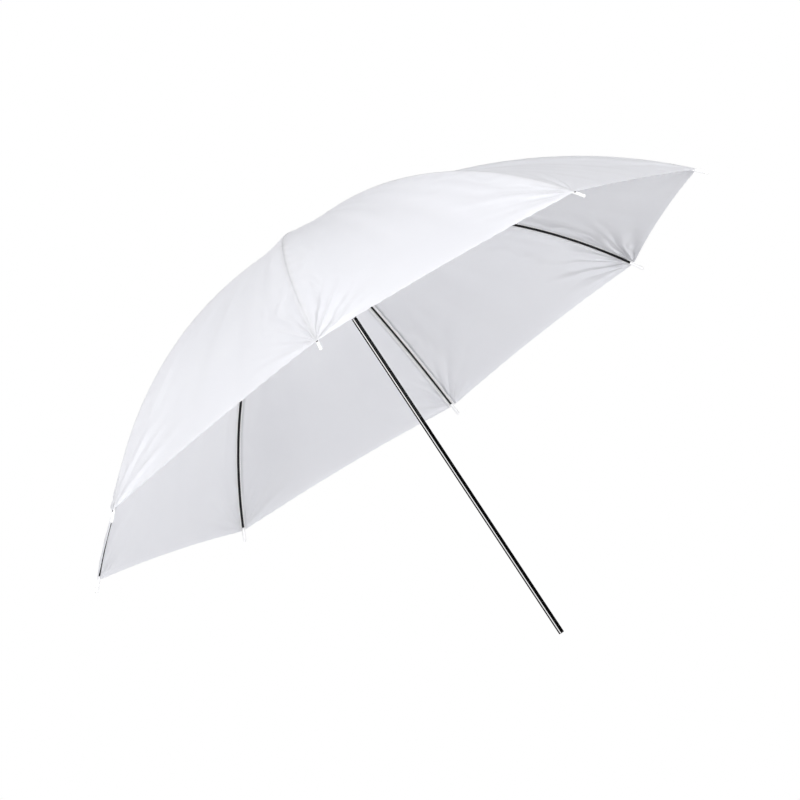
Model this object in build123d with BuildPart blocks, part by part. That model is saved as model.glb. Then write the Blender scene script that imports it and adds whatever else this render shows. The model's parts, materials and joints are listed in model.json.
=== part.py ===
"""White translucent photographic umbrella reflector with eight ribs, drawn fully open.

+Z runs along the shaft towards the crown. The origin is the centre of the shaft's free lower end.
Rib 1 points along +X and the ribs are counted counter-clockwise seen from above. Lengths are in mm.
"""

import os
from math import asin, atan2, cos, degrees, hypot, radians, sin

from build123d import *

RIB_COUNT = 8
RIM_RADIUS = 530.0
RIM_HEIGHT = 440.0
CROWN_RADIUS = 10.5
CROWN_SLOPE = 4.0
RIM_SLOPE = 48.0

SHAFT_RADIUS = 4.0
SHAFT_WALL = 0.8
GROOVE_WIDTH = 1.2
GROOVE_DEPTH = 0.3

RIB_WIDTH = 2.8
RIB_HEIGHT = 2.4
RIB_GAUGE = 0.5
BLADE_WIDTH = 1.2
SLOT_WIDTH = 1.6
CLIP_DISTANCE = 245.0
CLIP_WIDTH = 4.6
CLIP_LENGTH = 9.0
PIVOT_DROP = 3.6
FLEX_GAP = 0.8
RIVET_RADIUS = 0.8

WIRE_RADIUS = 0.6
WIRE_FIT = 0.05
EYE_RADIUS = 0.68
HUB_RADIUS = 13.0
PIVOT_BELOW_CROWN = 2.4

RUNNER_SLEEVE_RADIUS = 8.0
RUNNER_BELOW = 26.0
RUNNER_FIT = 0.06

CATCH_LENGTH = 4.0
CATCH_HEIGHT = 1.5
CATCH_THICKNESS = 1.2

TIP_RADIUS = 2.4
TIP_BEYOND = 16.0
TIP_UNDER = 9.0
RIB_IN_TIP = 7.0

CANOPY_THICKNESS = 0.6
CANOPY_LIFT = 1.6
CANOPY_HOLE = 9.0
SEAM_GAP = 0.15
RIM_SAG = 3.5

STEP_ANGLE = 360.0 / RIB_COUNT
HALF_STEP = STEP_ANGLE / 2

# The rib's centre line is an arc in the XZ plane that turns from CROWN_SLOPE to RIM_SLOPE.
ARC_RADIUS = (RIM_RADIUS - CROWN_RADIUS) / (sin(radians(RIM_SLOPE)) - sin(radians(CROWN_SLOPE)))
ARC_X = RIM_RADIUS - ARC_RADIUS * sin(radians(RIM_SLOPE))
ARC_Z = RIM_HEIGHT - ARC_RADIUS * cos(radians(RIM_SLOPE))
CROWN_HEIGHT = ARC_Z + ARC_RADIUS * cos(radians(CROWN_SLOPE))

# Each rib swings about the crown wire, and each stretcher joins a rib at its clip.
HINGE_HEIGHT = CROWN_HEIGHT - PIVOT_BELOW_CROWN
CLIP_SLOPE = CROWN_SLOPE + 2 * degrees(asin(CLIP_DISTANCE / (2 * ARC_RADIUS)))
FLEX_SLOPE = CLIP_SLOPE + degrees((CLIP_LENGTH / 2 + FLEX_GAP) / ARC_RADIUS)
PIVOT_X = ARC_X + (ARC_RADIUS - PIVOT_DROP) * sin(radians(CLIP_SLOPE))
PIVOT_Z = ARC_Z + (ARC_RADIUS - PIVOT_DROP) * cos(radians(CLIP_SLOPE))
LINK_SLOPE = degrees(atan2(HINGE_HEIGHT - PIVOT_Z, PIVOT_X - CROWN_RADIUS))
LINK_LENGTH = hypot(HINGE_HEIGHT - PIVOT_Z, PIVOT_X - CROWN_RADIUS)
RUNNER_HEIGHT = 2 * PIVOT_Z - HINGE_HEIGHT


def on_arc(slope, lift=0.0):
    """A point in the rib's plane, lift mm outside its centre line."""
    across = ARC_X + (ARC_RADIUS + lift) * sin(radians(slope))
    up = ARC_Z + (ARC_RADIUS + lift) * cos(radians(slope))
    return across, up


def strip(low, high, first, last):
    """A closed sketch between two lifts and two slopes along the rib."""
    middle = (first + last) / 2
    with BuildSketch() as outline:
        with BuildLine():
            ThreePointArc(on_arc(first, high), on_arc(middle, high), on_arc(last, high))
            Line(on_arc(last, high), on_arc(last, low))
            ThreePointArc(on_arc(last, low), on_arc(middle, low), on_arc(first, low))
            Line(on_arc(first, low), on_arc(first, high))
        make_face()
    return outline.sketch


def side_plane(offset=0.0):
    """The rib's plane, whose sketches read as across and up, offset along +Y."""
    return Plane(origin=(0, offset, 0), x_dir=(1, 0, 0), z_dir=(0, -1, 0))


def around(part, number):
    """The part turned to rib position number, counted from 1."""
    return part.rotate(Axis.Z, STEP_ANGLE * (number - 1))


def keep(part, name):
    """Label the part and write its STEP file."""
    part.label = name
    export_step(part, f"parts/{name}.step")


def channel(first, last):
    """A length of rib: a channel that is open underneath."""
    half = RIB_HEIGHT / 2
    with BuildPart() as rail:
        with BuildSketch(side_plane()):
            add(strip(-half, half, first, last))
        extrude(amount=RIB_WIDTH / 2, both=True)
        with BuildSketch(side_plane()):
            add(strip(-half, half - RIB_GAUGE, first - 1, last + 1))
        extrude(amount=RIB_WIDTH / 2 - RIB_GAUGE, both=True, mode=Mode.SUBTRACT)
    return rail.part


def shaft():
    """A polished tube with a window for the spring catch and a shallow groove below it."""
    top = CROWN_HEIGHT + 6.0
    with BuildPart() as tube:
        Cylinder(SHAFT_RADIUS, top, align=(Align.CENTER, Align.CENTER, Align.MIN))
        base = (Align.CENTER, Align.CENTER, Align.MIN)
        Cylinder(SHAFT_RADIUS - SHAFT_WALL, top, align=base, mode=Mode.SUBTRACT)
        with BuildSketch(Plane.XY.offset(catch_middle() - CATCH_LENGTH)):
            Circle(SHAFT_RADIUS + 1)
            Circle(SHAFT_RADIUS - GROOVE_DEPTH, mode=Mode.SUBTRACT)
        extrude(amount=GROOVE_WIDTH, mode=Mode.SUBTRACT)
        with Locations((SHAFT_RADIUS, 0, catch_middle())):
            Box(2 * SHAFT_RADIUS, CATCH_THICKNESS + 0.2, CATCH_LENGTH + 0.2, mode=Mode.SUBTRACT)
    return tube.part


def catch_middle():
    """The height of the middle of the spring catch, just under the open runner."""
    return RUNNER_HEIGHT - RUNNER_BELOW - CATCH_LENGTH / 2 - 0.2


def catch():
    """A small blade that stands out of the shaft and props the runner up."""
    inner = SHAFT_RADIUS - SHAFT_WALL - 1.2
    with BuildPart() as blade:
        with BuildSketch(side_plane()):
            with Locations((inner, catch_middle())):
                Rectangle(SHAFT_RADIUS + CATCH_HEIGHT - inner, CATCH_LENGTH, align=(Align.MIN, Align.CENTER))
        extrude(amount=CATCH_THICKNESS / 2, both=True)
        corner = blade.edges().filter_by(Axis.Y).sort_by(Axis.X)[-2:].sort_by(Axis.Z)[0]
        chamfer(corner, length=CATCH_HEIGHT - 0.2)
    return blade.part


def notched_collar(height, low, high, bore):
    """A collar around the shaft with one slot per rib and a round groove for its wire."""
    with BuildPart() as collar:
        with BuildSketch(Plane.XY.offset(height + low)):
            Circle(HUB_RADIUS)
            Circle(bore, mode=Mode.SUBTRACT)
        extrude(amount=high - low)
        outer = collar.edges().filter_by(GeomType.CIRCLE).sort_by(SortBy.RADIUS)[-2:]
        chamfer(outer, length=0.5)
        with BuildSketch(Plane.XY.offset(height + low)):
            with PolarLocations(0, RIB_COUNT):
                with Locations((HUB_RADIUS - 4.2, 0)):
                    Rectangle(8, SLOT_WIDTH, align=(Align.MIN, Align.CENTER))
        extrude(amount=high - low, mode=Mode.SUBTRACT)
        with Locations((0, 0, height)):
            Torus(CROWN_RADIUS, WIRE_RADIUS + WIRE_FIT, mode=Mode.SUBTRACT)
    return collar.part


def wire(height):
    """The wire ring that the rib or stretcher eyes turn on."""
    with BuildPart() as loop:
        with Locations((0, 0, height)):
            Torus(CROWN_RADIUS, WIRE_RADIUS)
    return loop.part


def runner():
    """The sliding collar with a grip sleeve below it."""
    bore = SHAFT_RADIUS + RUNNER_FIT
    with BuildPart() as body:
        add(notched_collar(RUNNER_HEIGHT, -3.4, 3.4, bore))
        with BuildSketch(Plane.XY.offset(RUNNER_HEIGHT - RUNNER_BELOW)):
            Circle(RUNNER_SLEEVE_RADIUS)
            Circle(bore, mode=Mode.SUBTRACT)
        extrude(amount=RUNNER_BELOW - 3.4)
        lowest = body.edges().filter_by(GeomType.CIRCLE).group_by(Axis.Z)[0].sort_by(SortBy.RADIUS)[-1]
        fillet(lowest, radius=1.2)
    return body.part


def canopy_disc():
    """The round patch that covers the middle of the canopy."""
    with BuildPart() as disc:
        with BuildSketch(Plane.XY.offset(CROWN_HEIGHT + CANOPY_LIFT + CANOPY_THICKNESS + 0.3)):
            Circle(17.0)
            Circle(SHAFT_RADIUS + WIRE_FIT, mode=Mode.SUBTRACT)
        extrude(amount=0.7)
    return disc.part


def crown_cap():
    """The low dome that closes the top of the shaft."""
    base = CROWN_HEIGHT + CANOPY_LIFT + CANOPY_THICKNESS + 1.1
    with BuildPart() as cap:
        with BuildSketch(Plane.XY.offset(base)):
            Circle(8.0)
        extrude(amount=5.6)
        fillet(cap.faces().sort_by(Axis.Z)[-1].edges(), radius=4.6)
        with BuildSketch(Plane.XY.offset(base)):
            Circle(SHAFT_RADIUS + WIRE_FIT)
        extrude(amount=CROWN_HEIGHT + 6.1 - base, mode=Mode.SUBTRACT)
    return cap.part


def rib_inner():
    """The rib from the crown wire to the clip, with the clip's ears and rivet."""
    start = CROWN_SLOPE + degrees(6.0 / ARC_RADIUS)
    end = FLEX_SLOPE - degrees(FLEX_GAP / 2 / ARC_RADIUS)
    blade_end = on_arc(start + 0.8)
    back = degrees(CLIP_LENGTH / 2 / ARC_RADIUS)
    with BuildPart() as rib:
        add(channel(start, end))
        with BuildSketch(side_plane()):
            with BuildLine():
                Polyline(
                    (CROWN_RADIUS, HINGE_HEIGHT - 1.5),
                    (blade_end[0], blade_end[1] - 1.1),
                    (blade_end[0], blade_end[1] + 1.0),
                    (CROWN_RADIUS, HINGE_HEIGHT + 1.5),
                    close=True,
                )
            make_face()
            with Locations((CROWN_RADIUS, HINGE_HEIGHT)):
                Circle(1.5)
        extrude(amount=BLADE_WIDTH / 2, both=True)
        with BuildSketch(side_plane()):
            add(strip(-PIVOT_DROP - 1.4, RIB_HEIGHT / 2 - 0.2, CLIP_SLOPE - back, CLIP_SLOPE + back))
        extrude(amount=CLIP_WIDTH / 2, both=True)
        with BuildSketch(side_plane()):
            add(strip(-PIVOT_DROP - 2, RIB_HEIGHT / 2 - RIB_GAUGE, CLIP_SLOPE - 3, CLIP_SLOPE + 3))
        extrude(amount=RIB_WIDTH / 2 - RIB_GAUGE, both=True, mode=Mode.SUBTRACT)
        with BuildSketch(side_plane()):
            with Locations((CROWN_RADIUS, HINGE_HEIGHT)):
                Circle(EYE_RADIUS)
        extrude(amount=2, both=True, mode=Mode.SUBTRACT)
        with BuildSketch(side_plane()):
            with Locations((PIVOT_X, PIVOT_Z)):
                Circle(RIVET_RADIUS)
        extrude(amount=CLIP_WIDTH / 2 + 0.4, both=True)
    return rib.part


def rib_outer():
    """The rib from the clip to the tip."""
    start = FLEX_SLOPE + degrees(FLEX_GAP / 2 / ARC_RADIUS)
    end = RIM_SLOPE + degrees(RIB_IN_TIP / ARC_RADIUS)
    return channel(start, end)


def rib_tip():
    """The rounded end cap under the canopy's corner, open on top where the cloth lies on the rib."""
    start = on_arc(RIM_SLOPE)
    along = (cos(radians(RIM_SLOPE)), 0, -sin(radians(RIM_SLOPE)))
    corner = Plane(origin=(start[0], 0, start[1]), x_dir=(0, 1, 0), z_dir=along)
    half = RIB_HEIGHT / 2
    with BuildPart() as tip:
        with BuildSketch(corner.offset(-TIP_UNDER)):
            Circle(TIP_RADIUS)
        extrude(amount=TIP_UNDER + TIP_BEYOND)
        far = tip.faces().filter_by(GeomType.PLANE).sort_by(Axis.Z)[0]
        fillet(far.edges(), radius=TIP_RADIUS - 0.2)
        with BuildSketch(corner.offset(-TIP_UNDER)):
            Rectangle(RIB_WIDTH + 0.1, RIB_HEIGHT + 0.1)
        extrude(amount=TIP_UNDER + RIB_IN_TIP + 0.4, mode=Mode.SUBTRACT)
        with BuildSketch(side_plane()):
            back = degrees((TIP_UNDER + 2) / ARC_RADIUS)
            add(strip(half - 0.2, half + 4, RIM_SLOPE - back, RIM_SLOPE + degrees(0.6 / ARC_RADIUS)))
        extrude(amount=2 * TIP_RADIUS, both=True, mode=Mode.SUBTRACT)
    return tip.part


def stretcher():
    """The brace from the runner's wire up to the rib's clip."""
    length = LINK_LENGTH
    tilt = radians(LINK_SLOPE)
    plane = Plane(
        origin=(CROWN_RADIUS, 0, RUNNER_HEIGHT),
        x_dir=(cos(tilt), 0, sin(tilt)),
        z_dir=(0, -1, 0),
    )
    with BuildPart() as brace:
        with BuildSketch(plane):
            with Locations((7, 0)):
                Rectangle(length - 14, 2.6, align=(Align.MIN, Align.CENTER))
        extrude(amount=RIB_WIDTH / 2, both=True)
        with BuildSketch(plane):
            with Locations((6, -0.5)):
                Rectangle(length - 12, 2.6, align=(Align.MIN, Align.CENTER))
        extrude(amount=RIB_WIDTH / 2 - RIB_GAUGE, both=True, mode=Mode.SUBTRACT)
        with BuildSketch(plane):
            Rectangle(9, 2.2, align=(Align.MIN, Align.CENTER))
            with Locations((length, 0)):
                Rectangle(9, 2.2, align=(Align.MAX, Align.CENTER))
            with Locations((0, 0), (length, 0)):
                Circle(1.5)
            with Locations((0, 0)):
                Circle(EYE_RADIUS, mode=Mode.SUBTRACT)
            with Locations((length, 0)):
                Circle(RIVET_RADIUS + WIRE_FIT, mode=Mode.SUBTRACT)
        extrude(amount=BLADE_WIDTH / 2, both=True)
    return brace.part


def panel_left():
    """Half of one gore, from a rib to the middle of the gore on its counter-clockwise side."""
    slant = (-sin(radians(HALF_STEP)), cos(radians(HALF_STEP)), 0)
    low = CANOPY_LIFT
    middle = RIM_RADIUS * cos(radians(HALF_STEP)) - RIM_SAG
    far = (RIM_RADIUS * cos(radians(STEP_ANGLE)), RIM_RADIUS * sin(radians(STEP_ANGLE)))
    seam = (2 * RIM_RADIUS * cos(radians(HALF_STEP)), 2 * RIM_RADIUS * sin(radians(HALF_STEP)))
    with BuildPart() as panel:
        with BuildSketch(side_plane(SEAM_GAP)):
            add(strip(low, low + CANOPY_THICKNESS, CROWN_SLOPE - 0.6, RIM_SLOPE + 1))
        extrude(amount=0.5 * RIM_RADIUS, dir=slant)
        with BuildSketch(Plane.XY):
            with BuildLine():
                Line((0, 0), (RIM_RADIUS, 0))
                ThreePointArc(
                    (RIM_RADIUS, 0),
                    (middle * cos(radians(HALF_STEP)), middle * sin(radians(HALF_STEP))),
                    far,
                )
                Line(far, (0, 0))
            make_face()
            Circle(CANOPY_HOLE, mode=Mode.SUBTRACT)
        extrude(amount=2 * RIM_HEIGHT, mode=Mode.INTERSECT)
        with BuildSketch(Plane.XY):
            with Locations((SEAM_GAP * sin(radians(HALF_STEP)), -SEAM_GAP * cos(radians(HALF_STEP)))):
                Polygon((0, 0), (seam[0], 0), seam, align=None)
        extrude(amount=2 * RIM_HEIGHT, mode=Mode.INTERSECT)
    return panel.part


def main():
    os.makedirs("parts", exist_ok=True)
    keep(shaft(), "shaft_tube")
    keep(catch(), "catch")
    keep(notched_collar(HINGE_HEIGHT, -4.6, 2.6, SHAFT_RADIUS + WIRE_FIT), "crown_hub")
    keep(wire(HINGE_HEIGHT), "crown_wire")
    keep(canopy_disc(), "canopy_disc")
    keep(crown_cap(), "crown_cap")
    keep(runner(), "runner")
    keep(wire(RUNNER_HEIGHT), "runner_wire")
    left = panel_left()
    for name, made in (
        ("rib_inner", rib_inner()),
        ("rib_outer", rib_outer()),
        ("rib_tip", rib_tip()),
        ("stretcher", stretcher()),
        ("panel_left", left),
        ("panel_right", left.mirror(Plane.XZ)),
    ):
        for number in range(1, RIB_COUNT + 1):
            keep(around(made, number), f"{name}_{number}")


main()
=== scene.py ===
"""Looks of the white translucent umbrella reflector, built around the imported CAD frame."""

import json
from math import cos, pi, radians, sin

import bpy
import numpy as np
from mathutils import Matrix, Vector

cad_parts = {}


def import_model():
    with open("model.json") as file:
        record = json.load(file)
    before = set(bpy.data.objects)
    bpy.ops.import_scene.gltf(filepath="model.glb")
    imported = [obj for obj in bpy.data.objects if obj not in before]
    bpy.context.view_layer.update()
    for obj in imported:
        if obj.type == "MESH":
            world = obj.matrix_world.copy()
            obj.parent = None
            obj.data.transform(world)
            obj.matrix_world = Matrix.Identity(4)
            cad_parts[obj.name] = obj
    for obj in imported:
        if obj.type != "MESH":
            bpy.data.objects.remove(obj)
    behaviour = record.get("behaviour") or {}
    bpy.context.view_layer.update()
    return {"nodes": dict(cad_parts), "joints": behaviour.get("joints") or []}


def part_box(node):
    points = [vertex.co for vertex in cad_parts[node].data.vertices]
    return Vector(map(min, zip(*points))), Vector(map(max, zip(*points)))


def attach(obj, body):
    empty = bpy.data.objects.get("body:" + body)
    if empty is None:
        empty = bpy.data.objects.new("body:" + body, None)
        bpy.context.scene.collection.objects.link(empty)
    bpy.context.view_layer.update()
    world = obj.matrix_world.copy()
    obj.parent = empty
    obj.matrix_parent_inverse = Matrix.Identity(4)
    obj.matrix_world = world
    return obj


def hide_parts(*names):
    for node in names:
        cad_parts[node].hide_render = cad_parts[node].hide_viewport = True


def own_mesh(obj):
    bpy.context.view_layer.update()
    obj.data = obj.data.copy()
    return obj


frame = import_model()
NODES = frame["nodes"]
JOINTS = {j["name"]: j for j in frame["joints"]}
RIBS = 8
STEP = 2 * pi / RIBS
HALF = STEP / 2

# The rib's arc, worked out from the frame: it leaves the crown at 4 degrees and meets the rim at 48.
CROWN_SLOPE, RIM_SLOPE = radians(4), radians(48)
HINGE = Vector(JOINTS["rib_1"]["pos_m"])
RIM_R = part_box("panel_left_1")[1].x
ARC_R = (RIM_R - HINGE.x) / (sin(RIM_SLOPE) - sin(CROWN_SLOPE))
ARC_X = RIM_R - ARC_R * sin(RIM_SLOPE)
CROWN_Z = HINGE.z + 0.0024
ARC_Z = CROWN_Z - ARC_R * cos(CROWN_SLOPE)
RIM_Z = ARC_Z + ARC_R * cos(RIM_SLOPE)
CLOTH_R = ARC_R + 0.0019
RIM_SAG = 0.0035
HOLE_R = 0.0095
PATCH_R = 0.017

# Heights of the small folds that are only bump, in metres, and how loose the cloth is at each corner.
FAN_HEIGHT = 0.0048
SEAM_RIDGE = 0.0022
SLACK_HEIGHT = 0.0050
LOOSE = {2: 0.65, 7: 0.35}  # the cloth is loosest at these two corners
TIGHT = 0.16  # and about this loose at the other six

# Sewing, in metres.
SEAM_WIDTH, HEM_WIDTH = 0.0055, 0.0075
SEAM_STITCH, HEM_STITCH, STITCH_WIDTH = 0.0042, 0.0062, 0.0005
STITCH_PITCH, WEAVE_PITCH = 0.003, 0.0007

# The studio. The steel mirrors lit and dark bands, which change at these angles from the front, in degrees.
FACING = radians(-84)
BANDS = ((-176, 1), (-170, 0), (-66, 0), (-58, 1), (-28, 1), (-20, 0), (172, 0), (179, 1))
DARK = 0.003
SOFT_LIGHT = 0.363
FLOOR_HALF, FLOOR_Z = 60.0, -1.6


# ---------- materials ----------

def material(name, colour):
    m = bpy.data.materials.new(name)
    m.use_nodes = True
    m.diffuse_color = (*colour, 1)
    nt = m.node_tree
    nt.nodes.clear()
    return m, nt


def node(nt, kind, **values):
    n = nt.nodes.new(kind)
    for key, value in values.items():
        if key in n.inputs:
            n.inputs[key].default_value = value
        else:
            setattr(n, key, value)
    return n


def math(nt, operation, a, b=None, c=None):
    n = nt.nodes.new("ShaderNodeMath")
    n.operation = operation
    for i, v in enumerate((a, b, c)):
        if v is None:
            continue
        if isinstance(v, (int, float)):
            n.inputs[i].default_value = v
        else:
            nt.links.new(v, n.inputs[i])
    return n.outputs[0]


def mix_colour(nt, factor, a, b):
    n = nt.nodes.new("ShaderNodeMix")
    n.data_type = "RGBA"
    for socket, v in ((n.inputs[0], factor), (n.inputs[6], a), (n.inputs[7], b)):
        if isinstance(v, (int, float, tuple)):
            socket.default_value = v
        else:
            nt.links.new(v, socket)
    return n.outputs[2]


def bump(nt, height, strength, distance):
    n = node(nt, "ShaderNodeBump", Strength=strength, Distance=distance)
    nt.links.new(height, n.inputs["Height"])
    return n.outputs[0]


def finish_material(nt, shader):
    out = nt.nodes.new("ShaderNodeOutputMaterial")
    nt.links.new(shader, out.inputs[0])


def object_noise(nt, scale, detail=3.0, stretch=(1, 1, 1)):
    where = nt.nodes.new("ShaderNodeTexCoord")
    mapping = node(nt, "ShaderNodeMapping", Scale=stretch)
    nt.links.new(where.outputs["Object"], mapping.inputs[0])
    noise = node(nt, "ShaderNodeTexNoise", Scale=scale, Detail=detail)
    nt.links.new(mapping.outputs[0], noise.inputs["Vector"])
    return noise.outputs[0]


def room(nt, direction):
    """How bright the studio is in a direction, as upright lit and dark bands."""
    parts = nt.nodes.new("ShaderNodeSeparateXYZ")
    nt.links.new(direction, parts.inputs[0])
    x, y = parts.outputs[0], parts.outputs[1]
    ahead = math(nt, "ADD", math(nt, "MULTIPLY", x, cos(FACING)), math(nt, "MULTIPLY", y, sin(FACING)))
    aside = math(nt, "ADD", math(nt, "MULTIPLY", x, -sin(FACING)), math(nt, "MULTIPLY", y, cos(FACING)))
    turn = math(nt, "ADD", math(nt, "DIVIDE", math(nt, "ARCTAN2", aside, ahead), 2 * pi), 0.5)
    ramp = nt.nodes.new("ShaderNodeValToRGB")
    elements = ramp.color_ramp.elements
    elements[0].position, elements[0].color = 0.0, (1, 1, 1, 1)
    elements[1].position, elements[1].color = 1.0, (1, 1, 1, 1)
    for angle, lit in BANDS:
        made = elements.new(angle / 360 + 0.5)
        made.color = (lit, lit, lit, 1)
    nt.links.new(turn, ramp.inputs[0])
    return math(nt, "ADD", math(nt, "MULTIPLY", ramp.outputs[0], 1 - DARK), DARK)


def bell(nt, value, middle, width):
    """1 where the value is at the middle, falling away over the width."""
    x = math(nt, "MULTIPLY", math(nt, "SUBTRACT", value, middle), 1 / width)
    return math(nt, "EXPONENT", math(nt, "MULTIPLY", math(nt, "MULTIPLY", x, x), -1.0))


def ridges(nt, along, rate, drift, amount):
    """Sharp ridges with flat valleys between them, wandering with a slow noise."""
    phase = math(nt, "ADD", math(nt, "MULTIPLY", along, rate), math(nt, "MULTIPLY", drift, amount))
    wave = math(nt, "ADD", math(nt, "MULTIPLY", math(nt, "SINE", phase), 0.5), 0.5)
    return math(nt, "POWER", wave, 3.0)


def cloth_folds(nt, across, up, inside):
    """Height of the small folds, in metres.

    They are a fan at the sewn corner, a ridge by the seam and long slack folds.
    """
    drift = object_noise(nt, 9.0, 2.0)
    squares = math(nt, "ADD", math(nt, "MULTIPLY", across, across), math(nt, "MULTIPLY", up, up))
    out = math(nt, "SQRT", squares)
    angle = math(nt, "ARCTAN2", across, up)
    wide, fine = ridges(nt, angle, 9.0, drift, 9.0), ridges(nt, angle, 19.0, drift, 15.0)
    rays = math(nt, "ADD", wide, math(nt, "MULTIPLY", fine, 0.5))
    rise = math(nt, "MINIMUM", math(nt, "MULTIPLY", out, 45.0), 1.0)
    near = math(nt, "MULTIPLY", bell(nt, out, 0.0, 0.095), rise)
    fan = math(nt, "MULTIPLY", math(nt, "MULTIPLY", rays, near), FAN_HEIGHT)
    loose = node(nt, "ShaderNodeAttribute", attribute_name="loose").outputs["Fac"]
    fan = math(nt, "MULTIPLY", fan, loose)
    by_seam = math(nt, "MULTIPLY", bell(nt, across, 0.0052, 0.0026), math(nt, "MULTIPLY", inside, SEAM_RIDGE))
    slack = math(nt, "MULTIPLY", ridges(nt, across, 120.0, drift, 11.0), bell(nt, across, 0.03, 0.035))
    slack = math(nt, "MULTIPLY", math(nt, "MULTIPLY", slack, bell(nt, up, 0.12, 0.14)), SLACK_HEIGHT)
    slack = math(nt, "MULTIPLY", slack, loose)
    return math(nt, "ADD", math(nt, "ADD", fan, by_seam), slack)


def fabric_material():
    """Thin white nylon: UV is distance from the seam and distance from the hem, in metres."""
    m, nt = material("white_translucent_nylon", (0.93, 0.93, 0.95))
    uv = node(nt, "ShaderNodeUVMap", uv_map="cloth")
    parts = nt.nodes.new("ShaderNodeSeparateXYZ")
    nt.links.new(uv.outputs[0], parts.inputs[0])
    across, up = parts.outputs[0], parts.outputs[1]
    seam = math(nt, "LESS_THAN", across, SEAM_WIDTH)
    hem = math(nt, "LESS_THAN", up, HEM_WIDTH)
    double = math(nt, "MAXIMUM", seam, hem)
    geometry = nt.nodes.new("ShaderNodeNewGeometry")
    inside = geometry.outputs["Backfacing"]
    # seam allowance strip, mostly on the inside: whiter partly for its double layer of cloth and partly as a
    # painted highlight standing in for its gloss
    seam_double_layer_and_painted_highlight = math(nt, "MULTIPLY", seam, math(nt, "ADD", math(nt, "MULTIPLY", inside, 0.8), 0.1))
    # stitches: short dashes beside the seam and along the hem
    seam_line = math(nt, "COMPARE", across, SEAM_STITCH, STITCH_WIDTH)
    hem_line = math(nt, "COMPARE", up, HEM_STITCH, STITCH_WIDTH)
    seam_dash, hem_dash = (
        math(nt, "GREATER_THAN", math(nt, "SINE", math(nt, "MULTIPLY", along, 2 * pi / STITCH_PITCH)), -0.2)
        for along in (up, across)
    )
    stitch = math(
        nt, "MAXIMUM", math(nt, "MULTIPLY", seam_line, seam_dash), math(nt, "MULTIPLY", hem_line, hem_dash)
    )
    weave = math(
        nt,
        "ADD",
        math(nt, "SINE", math(nt, "MULTIPLY", across, 2 * pi / WEAVE_PITCH)),
        math(nt, "SINE", math(nt, "MULTIPLY", up, 2 * pi / WEAVE_PITCH)),
    )
    crease = object_noise(nt, 26.0, 5.0)
    soft = object_noise(nt, 7.0, 2.0)
    tint = mix_colour(nt, soft, (0.885, 0.89, 0.935, 1), (0.935, 0.94, 0.975, 1))
    # tint the seam strip towards white: part double-layer colour, part painted highlight
    tint = mix_colour(nt, seam_double_layer_and_painted_highlight, tint, (1.0, 1.0, 1.0, 1))
    tint = mix_colour(nt, math(nt, "MULTIPLY", stitch, 0.2), tint, (0.78, 0.78, 0.80, 1))
    height = math(
        nt,
        "ADD",
        math(nt, "MULTIPLY", weave, 0.02),
        math(
            nt,
            "ADD",
            math(nt, "MULTIPLY", crease, 0.9),
            math(nt, "SUBTRACT", math(nt, "MULTIPLY", double, 0.5), math(nt, "MULTIPLY", stitch, 0.4)),
        ),
    )
    normal = bump(nt, height, 0.35, 0.0012)
    creased = node(nt, "ShaderNodeBump", Strength=1.0, Distance=1.0)
    nt.links.new(cloth_folds(nt, across, up, inside), creased.inputs["Height"])
    nt.links.new(normal, creased.inputs["Normal"])
    normal = creased.outputs[0]
    skin = node(nt, "ShaderNodeBsdfPrincipled", Roughness=0.42)
    skin.inputs["Sheen Weight"].default_value = 0.25
    skin.inputs["Sheen Roughness"].default_value = 0.4
    skin.inputs["Specular IOR Level"].default_value = 0.4
    glow = nt.nodes.new("ShaderNodeBsdfTranslucent")
    for target in (skin.inputs["Base Color"], glow.inputs[0]):
        nt.links.new(tint, target)
    for target in (skin.inputs["Normal"], glow.inputs["Normal"]):
        nt.links.new(normal, target)
    share = math(nt, "SUBTRACT", 0.42, math(nt, "MULTIPLY", double, 0.07))
    mixed = nt.nodes.new("ShaderNodeMixShader")
    nt.links.new(share, mixed.inputs[0])
    nt.links.new(skin.outputs[0], mixed.inputs[1])
    nt.links.new(glow.outputs[0], mixed.inputs[2])
    # mirrored rays pass through, so the polished shaft shows the room's bands and not the canopy
    clear = nt.nodes.new("ShaderNodeBsdfTransparent")
    path = nt.nodes.new("ShaderNodeLightPath")
    mirrored = nt.nodes.new("ShaderNodeMixShader")
    nt.links.new(math(nt, "MULTIPLY", path.outputs["Is Glossy Ray"], 0.97), mirrored.inputs[0])
    nt.links.new(mixed.outputs[0], mirrored.inputs[1])
    nt.links.new(clear.outputs[0], mirrored.inputs[2])
    finish_material(nt, mirrored.outputs[0])
    return m


def steel_material(name, rough, colour, scale):
    """Drawn steel with faint lengthwise marks."""
    m, nt = material(name, colour[:3])
    marks = object_noise(nt, scale, 4.0, (60, 60, 1))
    smudge = object_noise(nt, 30.0, 3.0)
    shade = mix_colour(nt, smudge, colour, tuple(c * 0.93 for c in colour[:3]) + (1,))
    steel = node(nt, "ShaderNodeBsdfPrincipled", Metallic=1.0)
    nt.links.new(shade, steel.inputs["Base Color"])
    nt.links.new(math(nt, "ADD", rough, math(nt, "MULTIPLY", marks, 0.04)), steel.inputs["Roughness"])
    nt.links.new(bump(nt, marks, 0.04, 0.00005), steel.inputs["Normal"])
    finish_material(nt, steel.outputs[0])
    return m


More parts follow.
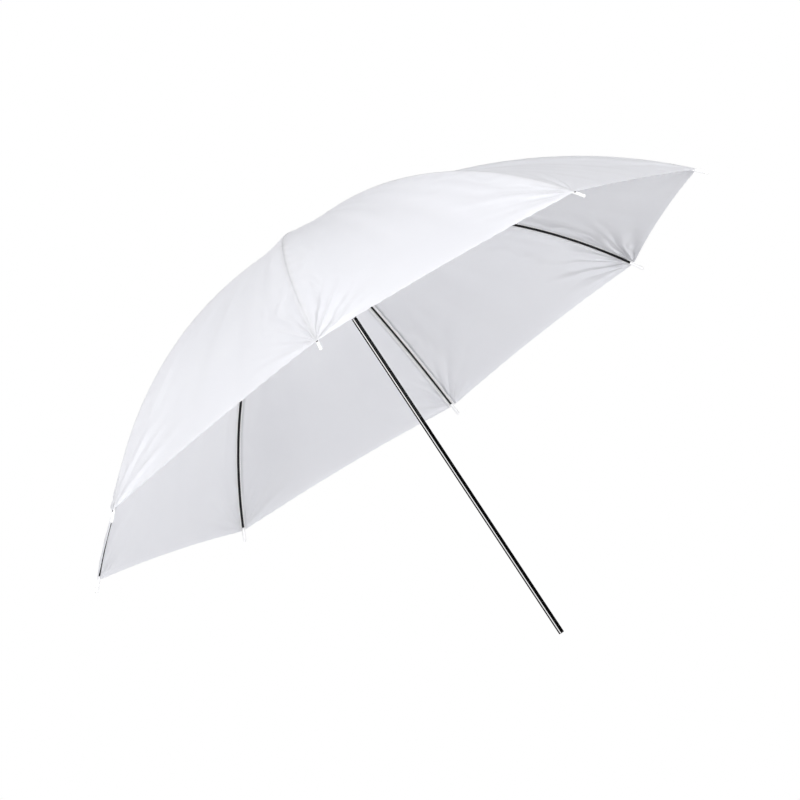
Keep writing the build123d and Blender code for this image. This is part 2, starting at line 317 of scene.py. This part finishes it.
def painted_material(name, colour, rough, wear, grain):
    """Enamel or moulded plastic with a fine grain and a little wear."""
    m, nt = material(name, colour)
    speck = object_noise(nt, grain, 4.0)
    worn = math(nt, "GREATER_THAN", object_noise(nt, 55.0, 6.0), 1.0 - wear)
    lighter = tuple(min(1.0, c * 0.8 + 0.12) for c in colour)
    shade = mix_colour(nt, math(nt, "MULTIPLY", worn, 0.5), (*colour, 1), (*lighter, 1))
    paint = node(nt, "ShaderNodeBsdfPrincipled")
    nt.links.new(shade, paint.inputs["Base Color"])
    nt.links.new(math(nt, "ADD", rough, math(nt, "MULTIPLY", speck, 0.15)), paint.inputs["Roughness"])
    nt.links.new(bump(nt, speck, 0.25, 0.0002), paint.inputs["Normal"])
    finish_material(nt, paint.outputs[0])
    return m


CLOTH = fabric_material()
STEEL = steel_material("polished_steel", 0.02, (0.93, 0.93, 0.935, 1), 40.0)
WIRE = steel_material("wire_steel", 0.28, (0.52, 0.52, 0.54, 1), 200.0)
ENAMEL = painted_material("black_enamel", (0.012, 0.012, 0.014), 0.3, 0.32, 300.0)
MOULDED = painted_material("black_moulded", (0.02, 0.02, 0.022), 0.42, 0.3, 500.0)
WHITE = painted_material("white_moulded", (0.88, 0.88, 0.89), 0.3, 0.25, 400.0)


def paint(obj, mat):
    obj.data.materials.clear()
    obj.data.materials.append(mat)


# ---------- canopy ----------

def ripple(azimuth, radius):
    """Soft lengthwise waves in the cloth, the same on both sides of every seam line."""
    share = radius / RIM_R
    wave = 0.45 * np.sin(23 * azimuth + 3.1 * share + 0.6)
    wave += 0.35 * np.sin(37 * azimuth - 4.3 * share + 2.1)
    wave += 0.25 * np.sin(61 * azimuth + 7.9 * share + 4.0)
    return wave * share * np.sin(pi * np.clip(share, 0, 1)) ** 0.5


def fold(phase):
    """A wave with sharp ridges and wide, shallow valleys, as cloth folds have."""
    return np.exp(2.2 * (np.cos(phase) - 1)) - 0.3


def half_gore(number, side):
    """Half a gore, from its rib to the fold along the gore's middle, as a grid of points."""
    rows, columns = 110, 36
    t = np.linspace(0, 1, columns + 1) ** 1.35
    u = 1 - (1 - np.linspace(0, 1, rows + 1)) ** 1.25
    end = RIM_R - RIM_SAG / cos(HALF) * (1 - (1 - t) ** 2)
    r = HOLE_R + (end[None, :] - HOLE_R) * u[:, None]
    t = np.broadcast_to(t[None, :], r.shape)
    slope = np.arcsin((r - ARC_X) / CLOTH_R)
    z = ARC_Z + CLOTH_R * np.cos(slope)
    away = t * r * sin(HALF)
    x = r - away * sin(HALF)
    y = away * cos(HALF)
    normal = np.stack([np.sin(slope) * cos(HALF), np.sin(slope) * sin(HALF), np.cos(slope) * cos(HALF)], -1)
    normal /= np.linalg.norm(normal, axis=-1, keepdims=True)
    share = r / RIM_R
    from_rim = (end[None, :] - r) / np.cos((CROWN_SLOPE + RIM_SLOPE) / 2)
    dip = -0.0075 * np.sin(pi * np.clip(share, 0, 1) ** 1.6) ** 0.9 * (1 - (1 - t) ** 2)
    # folds that fan out of the corner where the cloth is sewn to the tip
    out = np.hypot(away, from_rim)
    angle = np.arctan2(away, np.maximum(from_rim, 1e-6))
    fan = fold(9.5 * angle + 1.1 * np.sin(2.3 * number)) + 0.6 * fold(17 * angle + 0.7 * number)
    loose = LOOSE.get(number, TIGHT)
    fan *= (
        (0.0026 + 0.0062 * loose)
        * np.exp(-((out / 0.09) ** 2))
        * np.clip(out / 0.02, 0, 1)
        * np.sin(np.clip(angle * 1.6, 0, pi)) ** 0.7
    )
    # a slack fold that runs beside the rib, then small puckers along the hem and the seam
    slack = (
        (0.002 + 0.003 * loose)
        * np.exp(-(((away - 0.022 - 0.02 * share) / 0.010) ** 2))
        * share**2
        * np.sin(pi * share**2) ** 2
    )
    hem = 0.0005 * np.sin(away / 0.0034 + 2.0 * number) * np.exp(-from_rim / 0.012) * np.sin(pi * t) ** 0.5
    seam = 0.0006 * np.sin(r / 0.0046 + 1.7 * number) * np.exp(-away / 0.012) * np.clip(away / 0.004, 0, 1)
    sign = 1 if side == "left" else -1
    azimuth = STEP * (number - 1) + sign * np.arctan2(y, x)
    soft = 0.0019 * ripple(azimuth, r) * np.clip(t * 4, 0, 1)
    lift = dip + fan + slack + hem + seam + soft
    p = np.stack([x, y, z], -1) + normal * lift[..., None]
    p[..., 1] *= sign
    a = STEP * (number - 1)
    turn = np.array([[cos(a), -sin(a), 0], [sin(a), cos(a), 0], [0, 0, 1]])
    return p @ turn.T, away, from_rim


def grid_mesh(name, points, across, up, flip):
    rows, columns = points.shape[:2]
    faces = []
    for i in range(rows - 1):
        for j in range(columns - 1):
            a = i * columns + j
            quad = (a, a + 1, a + columns + 1, a + columns)
            faces.append(quad if flip else quad[::-1])
    mesh = bpy.data.meshes.new(name)
    mesh.from_pydata([tuple(p) for p in points.reshape(-1, 3)], [], faces)
    layer = mesh.uv_layers.new(name="cloth")
    index = np.zeros(len(mesh.loops), np.int32)
    mesh.loops.foreach_get("vertex_index", index)
    uv = np.stack([across.ravel()[index], up.ravel()[index]], -1).astype(np.float32)
    layer.data.foreach_set("uv", uv.ravel())
    mesh.polygons.foreach_set("use_smooth", np.ones(len(mesh.polygons), bool))
    mesh.update()
    obj = bpy.data.objects.new(name, mesh)
    bpy.context.scene.collection.objects.link(obj)
    return obj


def canopy():
    for number in range(1, RIBS + 1):
        for side in ("left", "right"):
            points, across, up = half_gore(number, side)
            body = f"panel_{side}_{number}"
            obj = grid_mesh(f"gore_{side}_{number}", points, across, up, side == "right")
            loose = obj.data.attributes.new("loose", "FLOAT", "POINT")
            slackness = np.full(len(obj.data.vertices), LOOSE.get(number, TIGHT), np.float32)
            loose.data.foreach_set("value", slackness)
            paint(obj, CLOTH)
            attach(obj, body)
            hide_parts(body)
            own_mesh(obj)


def crown_patch():
    """The round stitched patch over the middle of the canopy."""
    rings, spokes = 8, 96
    r = np.linspace(0.0042, PATCH_R, rings + 1)[:, None] * np.ones((1, spokes + 1))
    a = np.linspace(0, 2 * pi, spokes + 1)[None, :] * np.ones((rings + 1, 1))
    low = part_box("canopy_disc")[0].z
    z = low + 0.0004 + 0.0002 * np.cos(8 * a) * (r / PATCH_R) ** 2 - 0.0008 * (r / PATCH_R) ** 3
    points = np.stack([r * np.cos(a), r * np.sin(a), z], -1)
    obj = grid_mesh("crown_patch", points, 0.02 + 0 * r, PATCH_R - r, False)
    paint(obj, CLOTH)
    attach(obj, "shaft")
    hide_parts("canopy_disc")


# ---------- frame ----------

def springy(node_name, body):
    """A copy of a rib length in black enamel, hung on the rib's body in place of the frame's own rib."""
    obj = bpy.data.objects.new(node_name.replace("rib", "spring_rib"), NODES[node_name].data.copy())
    bpy.context.scene.collection.objects.link(obj)
    paint(obj, ENAMEL)
    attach(obj, body)
    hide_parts(node_name)
    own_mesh(obj)


def ribs():
    for number in range(1, RIBS + 1):
        springy(f"rib_inner_{number}", f"rib_inner_{number}")
        springy(f"rib_outer_{number}", f"rib_outer_{number}")
        paint(NODES[f"stretcher_{number}"], ENAMEL)
        paint(NODES[f"rib_tip_{number}"], WHITE)


def hardware():
    paint(NODES["shaft_tube"], STEEL)
    paint(NODES["catch"], WIRE)
    paint(NODES["crown_wire"], WIRE)
    paint(NODES["runner_wire"], WIRE)
    paint(NODES["crown_hub"], MOULDED)
    paint(NODES["runner"], MOULDED)
    paint(NODES["crown_cap"], WHITE)


# ---------- stage, light and camera ----------

def stage():
    mesh = bpy.data.meshes.new("floor")
    corners = [(x * FLOOR_HALF, y * FLOOR_HALF, FLOOR_Z) for x, y in ((-1, -1), (1, -1), (1, 1), (-1, 1))]
    mesh.from_pydata(corners, [], [(0, 1, 2, 3)])
    floor = bpy.data.objects.new("floor", mesh)
    bpy.context.scene.collection.objects.link(floor)
    m, nt = material("pale_floor", (0.9, 0.9, 0.9))
    plain = node(nt, "ShaderNodeBsdfDiffuse", Color=(0.86, 0.86, 0.87, 1))
    pale = node(nt, "ShaderNodeEmission", Color=(0.93, 0.93, 0.935, 1))
    path = nt.nodes.new("ShaderNodeLightPath")
    either = nt.nodes.new("ShaderNodeMixShader")
    nt.links.new(path.outputs["Is Camera Ray"], either.inputs[0])
    nt.links.new(plain.outputs[0], either.inputs[1])
    nt.links.new(pale.outputs[0], either.inputs[2])
    finish_material(nt, either.outputs[0])
    paint(floor, m)


def world():
    """A white studio: pure white behind, a softer white as light, and bands for the steel to mirror."""
    w = bpy.data.worlds.new("studio")
    bpy.context.scene.world = w
    w.use_nodes = True
    nt = w.node_tree
    nt.nodes.clear()
    path = nt.nodes.new("ShaderNodeLightPath")
    where = nt.nodes.new("ShaderNodeTexCoord")
    band = room(nt, where.outputs["Generated"])
    soft = math(nt, "ADD", SOFT_LIGHT, math(nt, "MULTIPLY", path.outputs["Is Camera Ray"], 1 - SOFT_LIGHT))
    glossy = math(nt, "MULTIPLY", path.outputs["Is Glossy Ray"], math(nt, "SUBTRACT", band, SOFT_LIGHT))
    strength = math(nt, "ADD", soft, glossy)
    back = node(nt, "ShaderNodeBackground", Color=(1, 1, 1, 1))
    nt.links.new(strength, back.inputs["Strength"])
    out = nt.nodes.new("ShaderNodeOutputWorld")
    nt.links.new(back.outputs[0], out.inputs[0])


def area_light(name, place, aim, size, power):
    light = bpy.data.lights.new(name, "AREA")
    light.shape = "DISK"
    light.size = size
    light.energy = power
    obj = bpy.data.objects.new(name, light)
    obj.location = place
    obj.rotation_mode = "QUATERNION"
    obj.rotation_quaternion = (Vector(aim) - Vector(place)).to_track_quat("-Z", "Y")
    obj.visible_glossy = False
    bpy.context.scene.collection.objects.link(obj)


def camera():
    """From below the rim on rib 7's side, rolled so the crown leans to the left."""
    centre = Vector((0, 0, RIM_Z))
    azimuth, elevation, roll = radians(-84.0), radians(-10.04), radians(33.42)
    out = Vector((cos(azimuth) * cos(elevation), sin(azimuth) * cos(elevation), sin(elevation)))
    place = centre + out * RIM_R * 8.03
    aim = centre + Vector((-0.019, 0.008, -0.056)) * RIM_R
    look = (aim - place).normalized()
    cam = bpy.data.objects.new("camera", bpy.data.cameras.new("camera"))
    cam.data.lens = 132.1
    cam.data.sensor_width = 36.0
    cam.data.clip_end = 60.0
    cam.rotation_mode = "QUATERNION"
    cam.location = place
    level = look.to_track_quat("-Z", "Y")
    cam.rotation_quaternion = Matrix.Rotation(roll, 3, look).to_quaternion() @ level
    bpy.context.scene.collection.objects.link(cam)
    bpy.context.scene.camera = cam


canopy()
crown_patch()
ribs()
hardware()
stage()
world()
for name, place, watts in (
    ("key", (0.2, -2.4, 3.2), 94),
    ("fill", (2.4, -3.2, -0.9), 94),
    ("side", (-3.2, -2.4, 0.2), 56),
):
    area_light(name, place, (0, 0, 0.5), 1.0, watts)
camera()
bpy.context.scene.view_settings.view_transform = "Standard"
bpy.context.view_layer.update()
